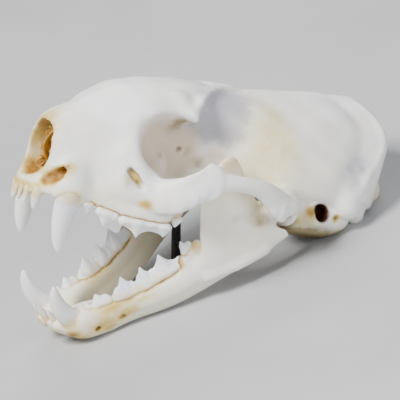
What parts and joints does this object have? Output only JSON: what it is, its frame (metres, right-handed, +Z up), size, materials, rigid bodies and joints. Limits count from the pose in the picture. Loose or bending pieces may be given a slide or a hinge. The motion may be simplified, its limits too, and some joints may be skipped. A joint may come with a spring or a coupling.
{
  "type": "polecat skull",
  "caption": "Life-size polecat skull with the jaws held open and the canines and cheek teeth in place, propped at the palate by a short dark rod.",
  "frame": {"origin": "on the floor under the middle of the part's bounding box", "axes": "+Z up, +Y towards the nape, the nose points to -Y, +X to the animal's left; the skull is symmetric about the plane X = 0"},
  "size_m": [0.0388, 0.071, 0.0387],
  "materials": {
    "cranium_bone": "clean dry bone, ivory white, faintly satin, with amber stains in its openings",
    "jaw_bone": "clean dry bone, warm ivory, yellower along the tooth sockets",
    "tooth_enamel": "smooth enamel, whiter and glossier than the bone",
    "rod_steel": "dark, dull round rod"
  },
  "bodies": {
    "root": {"face": "cranium_bone", "braincase": "cranium_bone", "cheekbone_left": "cranium_bone", "cheekbone_right": "cranium_bone", "ear_bulla_left": "cranium_bone", "ear_bulla_right": "cranium_bone", "lower_jaw_left": "jaw_bone", "lower_jaw_right": "jaw_bone", "stand_rod": "rod_steel"}
  },
  "joints": []
}
